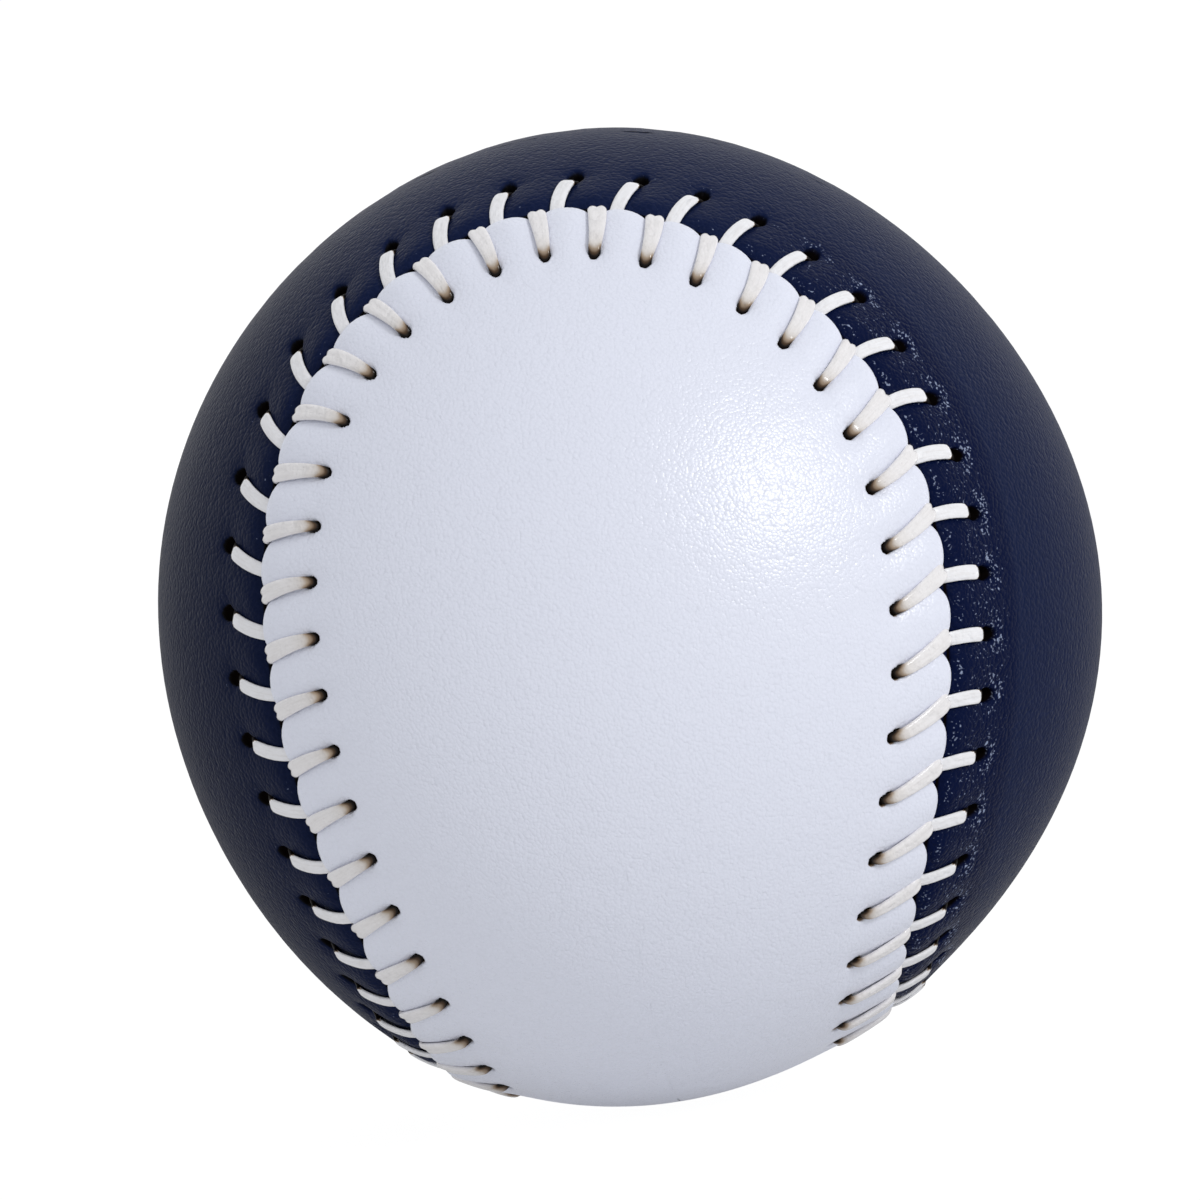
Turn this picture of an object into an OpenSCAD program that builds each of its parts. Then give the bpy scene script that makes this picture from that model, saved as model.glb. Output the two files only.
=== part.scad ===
// A hand-stitched leather ball with a cushioned cork centre, wool windings and a
// cover of two interlocking figure-of-eight panels.
// The origin is the ball's centre, +Z is up and the front faces -Y. The white panel's
// lobes face front and back and its waist is underneath; the navy panel's lobes face
// left and right and its waist is on top.

/* [Ball] */
// Diameter over the leather
ball_d = 74; // [66:0.5:84]

/* [Cover] */
// Thickness of the leather
leather_t = 1.25; // [0.9:0.05:1.8]
// Gap between the two panels along the seam
seam_gap = 0.24; // [0.1:0.02:0.4]
// Height of the seam's turns above the ball's middle, in degrees
seam_reach = 64.4; // [60:0.2:68]
// Sideways swing of the seam between its turns, in degrees
seam_swing = 18.3; // [15:0.1:21]
// Slight flattening of the seam's turns, in degrees
seam_ripple = -1.2; // [-2:0.1:0]

/* [Stitching] */
// Stitches along each panel
stitches = 84; // [72:4:88]
// Distance from the seam to the stitch holes
hole_inset = 5; // [4:0.1:6]
// Thickness of one strand of the waxed thread
strand_d = 0.46; // [0.3:0.02:0.6]
// Gap between the two strands of a white leg at their hole
strand_gap = 0.1; // [0.08:0.01:0.14]
// How much further apart the strands of a white leg lie at the seam
strand_spread = 0.4; // [0:0.05:0.5]
// Radius of the bend where a stitch turns down into its hole
bend_r = 0.5; // [0.45:0.05:0.8]
// Clearance of the thread over the leather
thread_fit = 0.06; // [0.03:0.01:0.1]
// Clearance round the thread in its hole
hole_fit = 0.08; // [0.04:0.01:0.2]
// Clearance round the thread where it goes down in the seam
nip_fit = 0.34; // [0.25:0.01:0.4]

/* [Centre] */
// Diameter of the cork centre
cork_d = 20.6; // [16:0.2:26]
// Thickness of the two black rubber half shells
black_t = 4; // [2:0.1:6]
// Thickness of the washer between the half shells
washer_t = 0.8; // [0.4:0.1:2]
// Thickness of the red rubber jacket
red_t = 2.4; // [1:0.1:4]

/* [Windings] */
// Thickness of the white wool winding
white_wool_t = 1.75; // [1:0.05:3]
// Thickness of the outer grey wool winding
outer_wool_t = 2.25; // [1:0.05:4]
// Thickness of the fine finishing winding
finishing_t = 0.55; // [0.3:0.05:1]
// Play between one layer and the next
layer_fit = 0.05; // [0.02:0.01:0.1]

/* [Hidden] */

ball_r = ball_d / 2;
leather_r = ball_r - leather_t;
finishing_r = leather_r - layer_fit;
outer_wool_r = finishing_r - finishing_t - layer_fit;
white_wool_r = outer_wool_r - outer_wool_t - layer_fit;
inner_wool_r = white_wool_r - white_wool_t - layer_fit;
cork_r = cork_d / 2;
black_r = cork_r + layer_fit + black_t;
red_r = black_r + layer_fit + red_t;

// Roundness of the ball's layers and of the stitch holes
ball_fn = 180;
hole_fn = 24;

// Each stitch is a leg on each side of the seam. The white leg goes down where the
// white edge is nipped and the navy leg a little further along.
leg_w = 2 * strand_d + strand_gap;
white_end_w = leg_w + strand_spread;
thread_r = ball_r + thread_fit + strand_d / 2;
thread_foot_r = finishing_r + thread_fit;
white_leg_inset = strand_d / 2 + nip_fit;
navy_leg_inset = white_leg_inset + seam_gap / 2;
// How far a leg has already bent aside where it passes the leather's surface
bend_inner_r = bend_r - strand_d / 2;
bend_reach = bend_r - sqrt(bend_inner_r ^ 2 - (bend_inner_r - thread_fit) ^ 2);
hole_d = norm([leg_w, 2 * bend_reach]) + 2 * hole_fit;

// Where the hand-set stitches lie along the seam, as shares of their spacing: a steady
// part, then pairs of waves of one, two, three and more cycles round the seam. The first
// is the drift of the white holes. Then each white leg leans to the seam, the navy leg
// starts a little further along and it leans on to its own hole.
drift_shares = [1.099, -0.284, 0.335, -0.146, 0.161, -0.032, 0.028, 0.017, -0.03,
    0.016, -0.026, 0, -0.011, -0.01, -0.011, -0.01, -0.015];
white_lean_shares = [-0.286, -0.008, 0.078, 0.059, -0.014, 0.053, -0.148, 0.013, -0.114,
    0.018, 0.029, 0.041, 0.07, 0.025, -0.009, 0, -0.05];
lead_shares = [0.233, -0.011, -0.1, 0.055, -0.097, 0.066, -0.023, 0.018, 0.015,
    -0.024, -0.01, -0.023, -0.028, -0.01, 0.003, -0.018, 0.041];
navy_lean_shares = [0.235, -0.028, -0.041, 0.064, -0.095, 0.058, -0.109, -0.015, -0.048,
    -0.04, 0.024, -0.01, 0.031, -0.001, 0, -0.025, -0.008];
// The scalloped edge over one stitch: where along the stitch the swell starts and ends, as
// shares of it, and how far the edge swells and dips there, as shares of a strand
scallop_place_shares = [0.4, 0.6];
swell_share = 0.38;
dip_share = -0.1;

overrun = 1;
// How far the wedge that cuts a panel reaches past the ball
wedge_share = 1.3;

// The seam on a ball of radius 1, by its angle round the vertical axis
seam_steps = 720;
function seam_turn(a) = a + seam_swing * sin(4 * a);
function seam_height(a) = seam_reach * cos(2 * a) + seam_ripple * cos(6 * a);
function seam_point(a) = let (h = seam_height(a), t = seam_turn(a))
    [cos(h) * sin(t), -cos(h) * cos(t), sin(h)];
function unit(v) = v / norm(v);
function seam_along(a) = let (d = 360 / seam_steps)
    unit(seam_point(a + d) - seam_point(a - d));
function seam_across(a) = unit(cross(seam_point(a), seam_along(a)));

// Length of the seam up to each step, and the angle at a length
seam_marks = [for (i = 0, s = 0; i <= seam_steps;
    s = s + norm(seam_point((i + 1) * 360 / seam_steps) - seam_point(i * 360 / seam_steps)),
    i = i + 1) [s * ball_r, i * 360 / seam_steps]];
seam_length = seam_marks[seam_steps][0];
pitch = seam_length / stitches;
function wrapped(s) = s - seam_length * floor(s / seam_length);
function angle_at(s) = lookup(wrapped(s), seam_marks);

// The direction a distance s along the seam and u across it, positive on the navy side
function way(s, u) = let (a = angle_at(s), e = u / ball_r * 180 / PI)
    cos(e) * seam_point(a) + sin(e) * seam_across(a);

function waves(shares, turn, k = 1) = k > (len(shares) - 1) / 2 ? shares[0] :
    shares[2 * k - 1] * cos(k * turn) + shares[2 * k] * sin(k * turn)
    + waves(shares, turn, k + 1);
function stitch_turn(i) = i * 360 / stitches;
function drifted(i, shares) = pitch * waves(shares, stitch_turn(i));
function white_hole(i) = pitch * i + drifted(i, drift_shares);
function crossing(i) = white_hole(i) + drifted(i, white_lean_shares);
function navy_start(i) = crossing(i) + drifted(i, lead_shares);
function navy_hole(i) = navy_start(i) + drifted(i, navy_lean_shares);

// The panels' edges as lists of [distance along the seam, distance across it]. Both
// follow one scalloped line, and each is nipped back where its own threads go down.
swell = strand_d * swell_share;
dip = strand_d * dip_share;
edge_inset = seam_gap / 2;
white_nip = white_leg_inset + white_end_w / 2 + hole_fit;
navy_nip = navy_leg_inset + hole_d / 2;
function between(first, second, share) = first + share * (second - first);
function nip(place, leg, depth, before, after) = let (half = (leg + nip_fit) / 2, lip = half + strand_d / 2)
    [[place - lip, before], [place - half, depth], [place + half, depth], [place + lip, after]];
white_edge = [for (i = [0:stitches - 1]) each concat(
    nip(crossing(i), white_end_w, -white_nip, dip - edge_inset, dip - edge_inset),
    [for (share = scallop_place_shares)
        [between(crossing(i), crossing(i + 1), share), swell - edge_inset]])];
navy_edge = [for (i = [0:stitches - 1]) each concat(
    nip(navy_start(i), leg_w, navy_nip, dip + edge_inset, swell + edge_inset),
    [[between(navy_start(i), navy_start(i + 1), scallop_place_shares[0]), swell + edge_inset]])];

// A panel's middle line runs over its waist from one lobe to the other. Its edge is
// tied to points on that line, from the first lobe's to the last.
spine_reach = 115;
spine_steps = 12;
wedge_r = ball_r * wedge_share;
function white_spine(turn) = [0, -sin(turn), -cos(turn)];
function navy_spine(turn) = [sin(turn), 0, cos(turn)];
function white_share(a) = (1 - cos(a)) / 2;
function navy_share(a) = (1 - sin(a)) / 2;
function spine_turn(k) = spine_reach * (1 - 2 * k / spine_steps);

// The wedge from the ball's centre out past its surface that holds one panel
module wedge(edge, ties, spine, outward) {
    n = len(edge);
    first_tie = n + 1;
    points = concat([[0, 0, 0]], [for (e = edge) wedge_r * way(e[0], e[1])],
        [for (s = spine) wedge_r * s]);
    faces = [for (i = [0:n - 1]) let (j = (i + 1) % n) each concat(
        [[j + 1, i + 1, 0], [i + 1, j + 1, first_tie + ties[i]]],
        ties[i] == ties[j] ? [] : [[first_tie + ties[i], j + 1, first_tie + ties[j]]])];
    polyhedron(points, outward ? faces : [for (f = faces) [f[2], f[1], f[0]]]);
}

module facing(direction) {
    rotate([0, acos(direction.z), atan2(direction.y, direction.x)]) children();
}

module shell(outer_r, inner_r) {
    difference() {
        sphere(r = outer_r, $fn = ball_fn);
        sphere(r = inner_r, $fn = ball_fn);
    }
}

module stitch_holes(directions) {
    for (d = directions) facing(d) translate([0, 0, leather_r - overrun])
        cylinder(d = hole_d, h = leather_t + 2 * overrun, $fn = hole_fn);
}

module white_panel() {
    ties = [for (e = white_edge) round(spine_steps * white_share(angle_at(e[0])))];
    spine = [for (k = [0:spine_steps]) white_spine(spine_turn(k))];
    color("ghostwhite") difference() {
        intersection() {
            shell(ball_r, leather_r);
            wedge(white_edge, ties, spine, true);
        }
        stitch_holes([for (i = [0:stitches - 1]) way(white_hole(i), -hole_inset)]);
    }
}

module navy_panel() {
    ties = [for (e = navy_edge) round(spine_steps * navy_share(angle_at(e[0])))];
    spine = [for (k = [0:spine_steps]) navy_spine(spine_turn(k))];
    color("midnightblue") difference() {
        intersection() {
            shell(ball_r, leather_r);
            wedge(navy_edge, ties, spine, false);
        }
        stitch_holes([for (i = [0:stitches - 1]) way(navy_hole(i), hole_inset)]);
    }
}

// One side of a strand in the plane of its run, with the ball's centre at the origin and
// the run's first end on the X axis: up from its foot, round a bend, over and down again
bend_steps = 3;
top_steps = 2;
bend_turn = asin(bend_r / (thread_r - bend_r));
function around(r, a) = [r * cos(a), r * sin(a)];
function strand_side(span, offset) = let (
    middle = around(thread_r - bend_r, bend_turn),
    rise = concat([[thread_foot_r, -offset]], [for (k = [0:bend_steps])
        middle + around(bend_r + offset, -90 + k * (90 + bend_turn) / bend_steps)]))
    concat(rise,
        [for (k = [1:top_steps - 1])
            around(thread_r + offset, bend_turn + k * (span - 2 * bend_turn) / top_steps)],
        [for (k = [len(rise) - 1:-1:0]) let (p = rise[k])
            [p.x * cos(span) + p.y * sin(span), p.x * sin(span) - p.y * cos(span)]]);

// A flat run of thread from one direction to another, moved sideways by a different
// distance at each end
module strand(hole, end, width, hole_side = 0, end_side = 0) {
    sideways = unit(cross(hole, end)) / ball_r;
    from = unit(hole + hole_side * sideways);
    to = unit(end + end_side * sideways);
    up = unit(cross(from, to));
    along = cross(up, from);
    span = acos(from * to);
    inner = strand_side(span, -strand_d / 2);
    multmatrix([[from.x, along.x, up.x, 0], [from.y, along.y, up.y, 0],
        [from.z, along.z, up.z, 0], [0, 0, 0, 1]])
        linear_extrude(width, center = true)
            polygon(concat(strand_side(span, strand_d / 2),
                [for (k = [len(inner) - 1:-1:0]) inner[k]]));
}

// On the white side the two strands spread towards the seam
module white_leg(i) {
    hole_side = (strand_d + strand_gap) / 2;
    for (side = [-1, 1])
        strand(way(white_hole(i), -hole_inset), way(crossing(i), -white_leg_inset),
            strand_d, side * hole_side, side * (hole_side + strand_spread / 2));
}

// On the navy side they lie tight together as one ribbon
module navy_leg(i) {
    strand(way(navy_hole(i), hole_inset), way(navy_start(i), navy_leg_inset), leg_w);
}

// The two needles swap sides at every stitch, so each thread shows on both panels
module seam_thread(first) {
    for (i = [first:2:stitches - 1]) white_leg(i);
    for (i = [1 - first:2:stitches - 1]) navy_leg(i);
}

module seam_thread_left() {
    color("ivory") seam_thread(0);
}

module seam_thread_right() {
    color("ivory") seam_thread(1);
}

module cork_centre() {
    color("peru") sphere(r = cork_r, $fn = ball_fn);
}

// Half of the black rubber shell, above or below the washer
module black_shell(side) {
    lip = washer_t / 2 + layer_fit;
    intersection() {
        shell(black_r, cork_r + layer_fit);
        translate([-black_r - overrun, -black_r - overrun, side > 0 ? lip : -lip - black_r])
            cube([2 * (black_r + overrun), 2 * (black_r + overrun), black_r]);
    }
}

module black_shell_upper() {
    color("dimgray") black_shell(1);
}

module black_shell_lower() {
    color("dimgray") black_shell(-1);
}

module centre_washer() {
    color("firebrick") difference() {
        intersection() {
            sphere(r = black_r, $fn = ball_fn);
            cylinder(r = black_r + overrun, h = washer_t, center = true, $fn = ball_fn);
        }
        cylinder(r = cork_r + layer_fit, h = washer_t + 2 * overrun, center = true, $fn = ball_fn);
    }
}

module red_jacket() {
    color("indianred") shell(red_r, black_r + layer_fit);
}

module inner_wool_winding() {
    color("gray") shell(inner_wool_r, red_r + layer_fit);
}

module white_wool_winding() {
    color("whitesmoke") shell(white_wool_r, inner_wool_r + layer_fit);
}

module outer_wool_winding() {
    color("darkgray") shell(outer_wool_r, white_wool_r + layer_fit);
}

module finishing_winding() {
    color("wheat") shell(finishing_r, outer_wool_r + layer_fit);
}

cork_centre();
black_shell_upper();
black_shell_lower();
centre_washer();
red_jacket();
inner_wool_winding();
white_wool_winding();
outer_wool_winding();
finishing_winding();
white_panel();
navy_panel();
seam_thread_left();
seam_thread_right();
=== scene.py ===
"""Looks of a two-tone hand-stitched ball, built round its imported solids.

The leather panels and the waxed stitches are new meshes that follow the same seam as the
solids. Lengths are in millimetres until a mesh is made.
"""

import logging
import math
from dataclasses import dataclass, field
from enum import Enum
from typing import TypeAlias

import bpy
import numpy as np
from bpy.types import ID, Material, NodeSocket, Object, World
from mathutils import Matrix, Vector


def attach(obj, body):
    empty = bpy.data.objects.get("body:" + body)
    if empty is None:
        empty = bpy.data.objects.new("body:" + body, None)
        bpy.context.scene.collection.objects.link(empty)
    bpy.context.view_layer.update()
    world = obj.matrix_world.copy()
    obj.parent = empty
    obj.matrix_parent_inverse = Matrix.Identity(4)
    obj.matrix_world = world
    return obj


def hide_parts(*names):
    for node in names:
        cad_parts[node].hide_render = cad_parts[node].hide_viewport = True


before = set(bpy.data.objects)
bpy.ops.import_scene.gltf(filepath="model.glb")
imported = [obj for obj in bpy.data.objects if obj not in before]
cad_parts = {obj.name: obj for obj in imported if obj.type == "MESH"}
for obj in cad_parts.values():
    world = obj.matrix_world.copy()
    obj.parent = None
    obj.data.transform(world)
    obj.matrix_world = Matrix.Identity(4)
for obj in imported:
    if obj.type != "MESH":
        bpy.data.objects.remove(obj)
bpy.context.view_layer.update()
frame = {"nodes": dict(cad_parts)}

MM = 0.001
IMAGE_SIDE = 1200
BODY = "root"
log = logging.getLogger("ball")

Span: TypeAlias = tuple[float, float]
Triple: TypeAlias = tuple[float, float, float]
Colour: TypeAlias = tuple[float, float, float]
Faces: TypeAlias = list[tuple[int, ...]]
Array: TypeAlias = np.ndarray
Marks: TypeAlias = dict[str, Array]
Inputs: TypeAlias = dict[int | str, object]
Operand: TypeAlias = "Value | float | tuple[float, ...]"


class Side(Enum):
    """The two sides of the seam, by the sign of the distance across it."""

    WHITE = -1
    NAVY = 1


@dataclass(frozen=True)
class Waves:
    """A smooth drift round the seam: a level and waves of one, two, three and more cycles."""

    level: float
    pairs: tuple[Span, ...]

    def at(self, turn: Array) -> Array:
        """The drift at some turns round the seam.

        Args:
            turn: Places round the seam, from 0 to 2 pi.

        Returns:
            The drift at each place.
        """
        total = np.full_like(turn, self.level)
        for cycles, (even, odd) in enumerate(self.pairs, 1):
            total += even * np.cos(cycles * turn) + odd * np.sin(cycles * turn)
        return total


def unit(x: Array) -> Array:
    """Vectors of length 1 along some vectors, one a row."""
    return x / np.linalg.norm(x, axis=-1, keepdims=True)


def add_object(name: str, data: ID) -> Object:
    """Puts a mesh, lamp or camera into the scene.

    Args:
        name: The object's name.
        data: Its mesh, lamp or camera.

    Returns:
        The object.
    """
    made = bpy.data.objects.new(name, data)
    bpy.context.scene.collection.objects.link(made)
    return made


@dataclass
class Viewpoint:
    """Where the ball is looked at from, as a turn from straight ahead, and the lens distance.
    All but that distance is fitted to the photograph."""

    turn: Triple = (0.1318, -0.0624, 0.1182)
    distance_radii: float = 60.0
    radius_px: float = 477.18
    centre_px: Span = (626.14, 614.88)

    def axes(self) -> Array:
        """Works out which way the camera looks.

        Returns:
            The directions to the picture's right, to its top and to the camera, as rows.
        """
        turn = Vector(self.turn)
        rotation = np.array(Matrix.Rotation(turn.length, 3, turn))
        return rotation @ np.array([[1.0, 0, 0], [0, 0, 1.0], [0, -1.0, 0]])

    def place_camera(self, ball_r: float) -> None:
        """Makes the scene's camera.

        Args:
            ball_r: The ball's radius in millimetres.
        """
        right, up, toward = axes = self.axes()
        reach = math.sqrt(self.distance_radii**2 - 1)
        data = bpy.data.cameras.new("camera")
        data.lens = data.sensor_width * self.radius_px * reach / IMAGE_SIDE
        data.clip_start, data.clip_end = 0.1, 20
        mm_per_px = ball_r / self.radius_px
        aside = (IMAGE_SIDE / 2 - self.centre_px[0]) * mm_per_px
        above = (self.centre_px[1] - IMAGE_SIDE / 2) * mm_per_px
        spot = right * aside + up * above + toward * self.distance_radii * ball_r
        camera = add_object("camera", data)
        camera.matrix_world = Matrix.Translation(spot * MM) @ Matrix(axes.T).to_4x4()
        bpy.context.scene.camera = camera


@dataclass
class Ball:
    """The ball's own shape, a little out of round as a soft hand-stitched ball is. The swells
    are fitted to the photographed outline."""

    viewpoint: Viewpoint
    radius: float = 37.0
    swells: tuple[complex, ...] = (-0.01827 + 0.00216j, 0.00838 - 0.0044j, 0.00773 + 0.0017j)

    def skin(self, ways: Array, heights: Array) -> Array:
        """Points over the ball's surface.

        Args:
            ways: Unit directions from the ball's centre, one a row.
            heights: How far each point stands above the leather's level.

        Returns:
            The points, one a row.
        """
        right, up, _ = self.viewpoint.axes()
        flat = ways @ right + 1j * (ways @ up)
        swell = sum((s * flat ** (k + 2)).real for k, s in enumerate(self.swells))
        return ways * (self.radius * (1 + swell) + heights)[..., None]


@dataclass
class Seam:
    """The seam's closed curve on the ball, as in the part's source."""

    ball_r: float
    reach: float = math.radians(64.4)
    swing: float = math.radians(18.3)
    ripple: float = math.radians(-1.2)
    stitches: int = 84
    steps: int = 7200
    nudge: float = 1e-4
    angles: Array = field(init=False)
    marks: Array = field(init=False)

    def __post_init__(self) -> None:
        """Works out the length along the seam at each step."""
        self.angles = np.linspace(0, 2 * np.pi, self.steps + 1)
        legs = np.linalg.norm(np.diff(self.point(self.angles), axis=0), axis=1)
        self.marks = np.concatenate(([0.0], np.cumsum(legs))) * self.ball_r

    @property
    def length(self) -> float:
        """The seam's whole length."""
        return float(self.marks[-1])

    @property
    def pitch(self) -> float:
        """The mean spacing of the stitches."""
        return self.length / self.stitches

    def point(self, a: Array) -> Array:
        """The seam's direction from the ball's centre.

        Args:
            a: Angles round the vertical axis.

        Returns:
            Unit directions, one a row.
        """
        height = self.reach * np.cos(2 * a) + self.ripple * np.cos(6 * a)
        turn = a + self.swing * np.sin(4 * a)
        return np.stack(
            [np.cos(height) * np.sin(turn), -np.cos(height) * np.cos(turn), np.sin(height)], -1
        )

    def angle_at(self, s: Array) -> Array:
        """The angle at some distances along the seam."""
        return np.interp(np.mod(s, self.length), self.marks, self.angles)

    def way(self, s: Array, u: Array) -> Array:
        """Directions at distances along and across the seam.

        Args:
            s: Distances along the seam.
            u: Distances across it, positive on the navy side.

        Returns:
            Unit directions, one a row.
        """
        a = self.angle_at(s)
        point = self.point(a)
        across = unit(np.cross(point, self.point(a + self.nudge) - self.point(a - self.nudge)))
        e = (u / self.ball_r)[..., None]
        return np.cos(e) * point + np.sin(e) * across


@dataclass
class Stitching:
    """Where the hand-set stitches lie, as waves round the seam. Drifts and leans are shares
    of the spacing and insets are millimetres. A scratch program fitted the waves to places
    read off the photograph, so they are data and not chosen by hand."""

    seam: Seam
    drift: Waves = Waves(1.099, (
        (-0.284, 0.335), (-0.146, 0.161), (-0.032, 0.028), (0.017, -0.03), (0.016, -0.026),
        (0, -0.011), (-0.01, -0.011), (-0.01, -0.015)))
    white_lean: Waves = Waves(-0.286, (
        (-0.008, 0.078), (0.059, -0.014), (0.053, -0.148), (0.013, -0.114), (0.018, 0.029),
        (0.041, 0.07), (0.025, -0.009), (0, -0.05)))
    lead: Waves = Waves(0.233, (
        (-0.011, -0.1), (0.055, -0.097), (0.066, -0.023), (0.018, 0.015), (-0.024, -0.01),
        (-0.023, -0.028), (-0.01, 0.003), (-0.018, 0.041)))
    navy_lean: Waves = Waves(0.235, (
        (-0.028, -0.041), (0.064, -0.095), (0.058, -0.109), (-0.015, -0.048), (-0.04, 0.024),
        (-0.01, 0.031), (-0.001, 0), (-0.025, -0.008)))
    white_inset: Waves = Waves(5.084, (
        (0.077, -0.074), (-0.055, -0.058), (-0.049, 0), (0.021, 0.026), (-0.013, 0.051),
        (-0.099, 0.11), (-0.085, 0.132), (0, 0.057)))
    navy_inset: Waves = Waves(4.835, (
        (0.031, -0.055), (0.239, -0.12), (0.154, -0.118), (-0.045, -0.045), (-0.005, -0.036),
        (0.162, -0.117), (0.111, -0.12), (-0.128, 0.02)))
    edge: Waves = Waves(0.344, (
        (0.105, 0.039), (0.104, -0.015), (0.037, -0.094), (-0.01, -0.104), (0.039, -0.09),
        (0.1, -0.126), (0.07, -0.148), (0.006, -0.063)))

    def turn(self, g: Array) -> Array:
        """The turn round the seam at some stitch numbers."""
        return 2 * np.pi * g / self.seam.stitches

    def hole(self, g: Array, side: Side) -> tuple[Array, Array]:
        """Where the stitch holes lie.

        Args:
            g: Stitch numbers, whole or between stitches.
            side: The panel.

        Returns:
            Distances along and across the seam.
        """
        turn = self.turn(g)
        if side is Side.WHITE:
            return self.seam.pitch * (g + self.drift.at(turn)), -self.white_inset.at(turn)
        s, _ = self.crossing(g, side)
        return s + self.seam.pitch * self.navy_lean.at(turn), self.navy_inset.at(turn)

    def crossing(self, g: Array, side: Side) -> tuple[Array, Array]:
        """Where the stitches' legs cross the white panel's edge.

        Args:
            g: Stitch numbers, whole or between stitches.
            side: The side that the legs come from.

        Returns:
            Distances along and across the seam.
        """
        turn = self.turn(g)
        drift = g + self.drift.at(turn) + self.white_lean.at(turn)
        if side is Side.WHITE:
            return self.seam.pitch * drift, self.edge.at(turn)
        lead = self.lead.at(turn)
        return self.seam.pitch * (drift + lead), self.edge.at(turn + self.turn(lead))


def smooth(x: Array, low: float, high: float) -> Array:
    """A smooth step from 0 at low to 1 at high."""
    t = np.clip((x - low) / (high - low), 0, 1)
    return t * t * (3 - 2 * t)


def bell(x: Array, width: float) -> Array:
    """A smooth bump that is 1 at 0 and nearly gone at twice the width."""
    return np.exp(-((x / width) ** 2))


def make_object(name: str, points: Array, faces: Faces, marks: Marks) -> Object:
    """Makes a smooth mesh object.

    Args:
        name: The piece's name.
        points: Its points in millimetres.
        faces: Its faces as point numbers.
        marks: Values at each point that the material reads, by name.

    Returns:
        The object, linked to the scene.
    """
    mesh = bpy.data.meshes.new(name)
    mesh.from_pydata((points * MM).tolist(), [], faces)
    for label, values in marks.items():
        layer = mesh.attributes.new(label, "FLOAT", "POINT")
        layer.data.foreach_set("value", values.astype(np.float32).ravel())
    mesh.polygons.foreach_set("use_smooth", np.ones(len(mesh.polygons), bool))
    mesh.update()
    return add_object(name, mesh)


def ring_faces(low: int, high: int, count: int) -> Faces:
    """The faces between two closed rows of points, from the number of each row's first point."""
    return [
        (low + j, low + (j + 1) % count, high + (j + 1) % count, high + j) for j in range(count)]


@dataclass(frozen=True)
class SeamLightPaint:
    """Where shade and glints are painted on the navy near the seam: over which part of the seam,
    how far in from the white edge, in a ring past each hole and on the shoulder between two
    stitches."""

    seam_part: Span = (0.02, 0.4)
    painted_shade_end: Span = (6.5, 9.5)
    ring: Triple = (0.2, 1.3, 0.4)  # middle, radius and width
    ring_start: Span = (0, 0.8)
    shoulder: Span = (0.85, 0.3)  # place and width
    band_start: Span = (1.2, 2.5)
    band_end: Span = (5, 7.5)
    band_share: float = 0.35
    least: float = 0.2


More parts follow.
